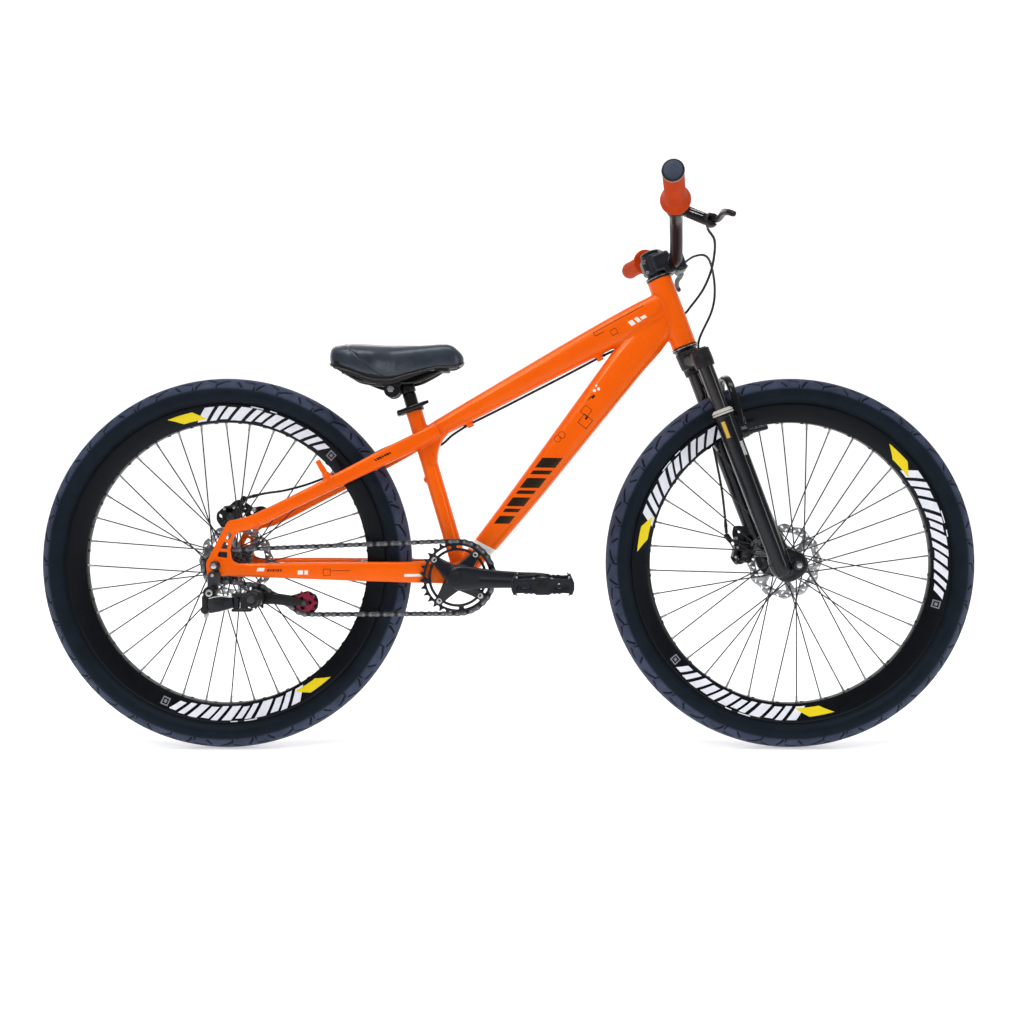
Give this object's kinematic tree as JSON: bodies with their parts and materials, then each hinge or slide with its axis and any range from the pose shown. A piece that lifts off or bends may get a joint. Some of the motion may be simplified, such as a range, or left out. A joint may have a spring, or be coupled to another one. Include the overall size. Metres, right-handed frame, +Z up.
{
  "type": "freeride bike",
  "caption": "Hardtail freeride bike with a sloping painted frame, short suspension fork, riser handlebar, disc brakes, deep rims, slick tyres, single chainring and rear derailleur.",
  "frame": {"origin": "on the ground, midway between the two axles, in the bike's middle plane", "axes": "+X forward, +Y to the rider's left, +Z up; the drive side is -Y"},
  "size_m": [1.692, 0.702, 0.9589],
  "materials": {
    "orange_paint": "gloss",
    "black_paint": "gloss",
    "tyre_rubber": "satin",
    "rim_black": "gloss",
    "bright_steel": "brushed",
    "chain_steel": "satin",
    "dark_steel": "satin",
    "grip_rubber": "matte",
    "saddle_vinyl": "satin",
    "black_plastic": "matte",
    "seal_grey": "satin",
    "red_plastic": "matte",
    "cable_black": "gloss",
    "alloy_black": "satin"
  },
  "bodies": {
    "frame": {"frame": "orange_paint", "headset_upper_cup": "black_paint", "headset_lower_cup": "black_paint", "seatpost_collar": "alloy_black", "derailleur_hanger": "alloy_black", "bottom_bracket": "dark_steel", "rear_axle": "bright_steel", "rear_caliper": "alloy_black", "rear_brake_cable": "cable_black", "chain": "chain_steel"},
    "seatpost_lever": {"seatpost_lever": "alloy_black"},
    "seatpost": {"seatpost": "black_paint", "saddle_clamp": "dark_steel"},
    "saddle": {"saddle_rails": "dark_steel", "saddle_base": "black_plastic", "saddle_cover": "saddle_vinyl"},
    "steering": {"fork_crown": "black_paint", "stanchion_right": "black_paint", "stanchion_left": "black_paint", "stem": "alloy_black", "stem_faceplate": "alloy_black", "stem_top_cap": "alloy_black", "handlebar": "black_paint", "grip_right": "grip_rubber", "grip_left": "grip_rubber", "lever_perch_right": "alloy_black", "lever_perch_left": "alloy_black", "front_brake_cable": "cable_black"},
    "lever_right": {"brake_lever_right": "alloy_black"},
    "lever_left": {"brake_lever_left": "alloy_black"},
    "fork_lower": {"fork_lowers": "black_paint", "fork_seal_right": "seal_grey", "fork_seal_left": "seal_grey", "front_axle": "bright_steel", "front_caliper": "alloy_black"},
    "front_brake_arm": {"front_brake_arm": "dark_steel"},
    "rear_brake_arm": {"rear_brake_arm": "dark_steel"},
    "front_wheel": {"front_hub": "alloy_black", "front_spokes": "dark_steel", "front_rim": "rim_black", "front_tyre": "tyre_rubber", "front_rotor": "bright_steel"},
    "rear_wheel": {"rear_hub": "alloy_black", "rear_spokes": "dark_steel", "rear_rim": "rim_black", "rear_tyre": "tyre_rubber", "rear_rotor": "bright_steel"},
    "freewheel": {"cassette": "chain_steel"},
    "crank": {"crank_right": "black_paint", "crank_left": "black_paint", "chainring": "black_paint", "crank_spindle": "bright_steel"},
    "pedal_right": {"pedal_right": "black_plastic"},
    "pedal_left": {"pedal_left": "black_plastic"},
    "derailleur_body": {"derailleur_knuckle": "alloy_black"},
    "derailleur_link": {"derailleur_link": "alloy_black"},
    "derailleur_lower": {"derailleur_lower_knuckle": "alloy_black"},
    "derailleur_cage": {"derailleur_cage": "alloy_black"},
    "jockey_guide": {"jockey_guide": "black_plastic"},
    "jockey_tension": {"jockey_tension": "red_plastic"}
  },
  "joints": [
    {"name": "steering_turn", "type": "hinge", "parent": "frame", "child": "steering", "pos_m": [0.3197, 0, 0.7286], "axis": [-0.3535, 0, 0.9354], "range_deg": [-60, 60], "deforming": ["rear_brake_cable"]},
    {"name": "fork_travel", "type": "slide", "parent": "steering", "child": "fork_lower", "axis": [-0.3535, 0, 0.9354], "range_m": [0, 0.05], "stiffness_N_per_m": 9000, "springref_m": -0.01, "deforming": ["front_brake_cable"]},
    {"name": "front_wheel_spin", "type": "hinge", "parent": "fork_lower", "child": "front_wheel", "pos_m": [0.511, 0, 0.335], "axis": [0, 1, 0], "continuous": true},
    {"name": "rear_wheel_spin", "type": "hinge", "parent": "frame", "child": "rear_wheel", "pos_m": [-0.511, 0, 0.335], "axis": [0, 1, 0], "continuous": true},
    {"name": "crank_turn", "type": "hinge", "parent": "frame", "child": "crank", "pos_m": [-0.0895, 0, 0.3126], "axis": [0, 1, 0], "continuous": true},
    {"name": "freewheel_turn", "type": "hinge", "parent": "frame", "child": "freewheel", "pos_m": [-0.511, 0, 0.335], "axis": [0, 1, 0], "continuous": true},
    {"name": "pedal_right_spin", "type": "hinge", "parent": "crank", "child": "pedal_right", "pos_m": [0.06046, -0.083, 0.3092], "axis": [0, 1, 0], "continuous": true},
    {"name": "pedal_left_spin", "type": "hinge", "parent": "crank", "child": "pedal_left", "pos_m": [-0.23946, 0.083, 0.316], "axis": [0, 1, 0], "continuous": true},
    {"name": "derailleur_swing", "type": "hinge", "parent": "frame", "child": "derailleur_body", "pos_m": [-0.5154, 0, 0.2894], "axis": [0, 1, 0], "range_deg": [-3, 8], "stiffness_Nm_per_rad": 12, "deforming": ["chain"]},
    {"name": "derailleur_shift", "type": "hinge", "parent": "derailleur_body", "child": "derailleur_link", "pos_m": [-0.507, -0.09, 0.268], "axis": [0, 0, 1], "range_deg": [0, 42], "stiffness_Nm_per_rad": 1, "deforming": ["chain"]},
    {"name": "derailleur_lower_pivot", "type": "hinge", "parent": "derailleur_link", "child": "derailleur_lower", "pos_m": [-0.467, -0.103, 0.274], "axis": [0, 0, 1], "range_deg": [-42, 0], "deforming": ["chain"]},
    {"name": "cage_tension", "type": "hinge", "parent": "derailleur_lower", "child": "derailleur_cage", "pos_m": [-0.4405, 0, 0.279], "axis": [0, 1, 0], "range_deg": [-6, 60], "stiffness_Nm_per_rad": 2, "deforming": ["chain"]},
    {"name": "guide_pulley_spin", "type": "hinge", "parent": "derailleur_cage", "child": "jockey_guide", "pos_m": [-0.4405, 0, 0.279], "axis": [0, 1, 0], "continuous": true},
    {"name": "tension_pulley_spin", "type": "hinge", "parent": "derailleur_cage", "child": "jockey_tension", "pos_m": [-0.35713, 0, 0.26876], "axis": [0, 1, 0], "continuous": true},
    {"name": "lever_right_pull", "type": "hinge", "parent": "steering", "child": "lever_right", "pos_m": [0.337, -0.187, 0.9085], "axis": [-0.4067, 0, -0.9135], "range_deg": [0, 25], "stiffness_Nm_per_rad": 1},
    {"name": "lever_left_pull", "type": "hinge", "parent": "steering", "child": "lever_left", "pos_m": [0.337, 0.187, 0.9085], "axis": [0.4067, 0, 0.9135], "range_deg": [0, 25], "stiffness_Nm_per_rad": 1},
    {"name": "front_arm_pull", "type": "hinge", "parent": "fork_lower", "child": "front_brake_arm", "pos_m": [0.43318, 0.063, 0.35028], "axis": [0, 1, 0], "range_deg": [0, 20], "deforming": ["front_brake_cable"]},
    {"name": "rear_arm_pull", "type": "hinge", "parent": "frame", "child": "rear_brake_arm", "pos_m": [-0.52, 0.077, 0.421], "axis": [0, 1, 0], "range_deg": [0, 20], "deforming": ["rear_brake_cable"]},
    {"name": "seatpost_height", "type": "slide", "parent": "frame", "child": "seatpost", "axis": [-0.283, 0, 0.9591], "range_m": [-0.02, 0.08]},
    {"name": "saddle_tilt", "type": "hinge", "parent": "seatpost", "child": "saddle", "pos_m": [-0.211, 0, 0.649], "axis": [0, 1, 0], "range_deg": [-10, 10]},
    {"name": "collar_lever_open", "type": "hinge", "parent": "frame", "child": "seatpost_lever", "pos_m": [-0.19635, -0.015, 0.60689], "axis": [-0.283, 0, 0.9591], "range_deg": [-150, 0]}
  ],
  "couplings": [
    {"joint": "freewheel_turn", "follows": "crank_turn", "ratio": 2.4615},
    {"joint": "guide_pulley_spin", "follows": "crank_turn", "ratio": -3.2},
    {"joint": "tension_pulley_spin", "follows": "crank_turn", "ratio": 3.2},
    {"joint": "derailleur_lower_pivot", "follows": "derailleur_shift", "ratio": -1},
    {"joint": "front_arm_pull", "follows": "lever_left_pull", "ratio": 0.8},
    {"joint": "rear_arm_pull", "follows": "lever_right_pull", "ratio": 0.8}
  ]
}
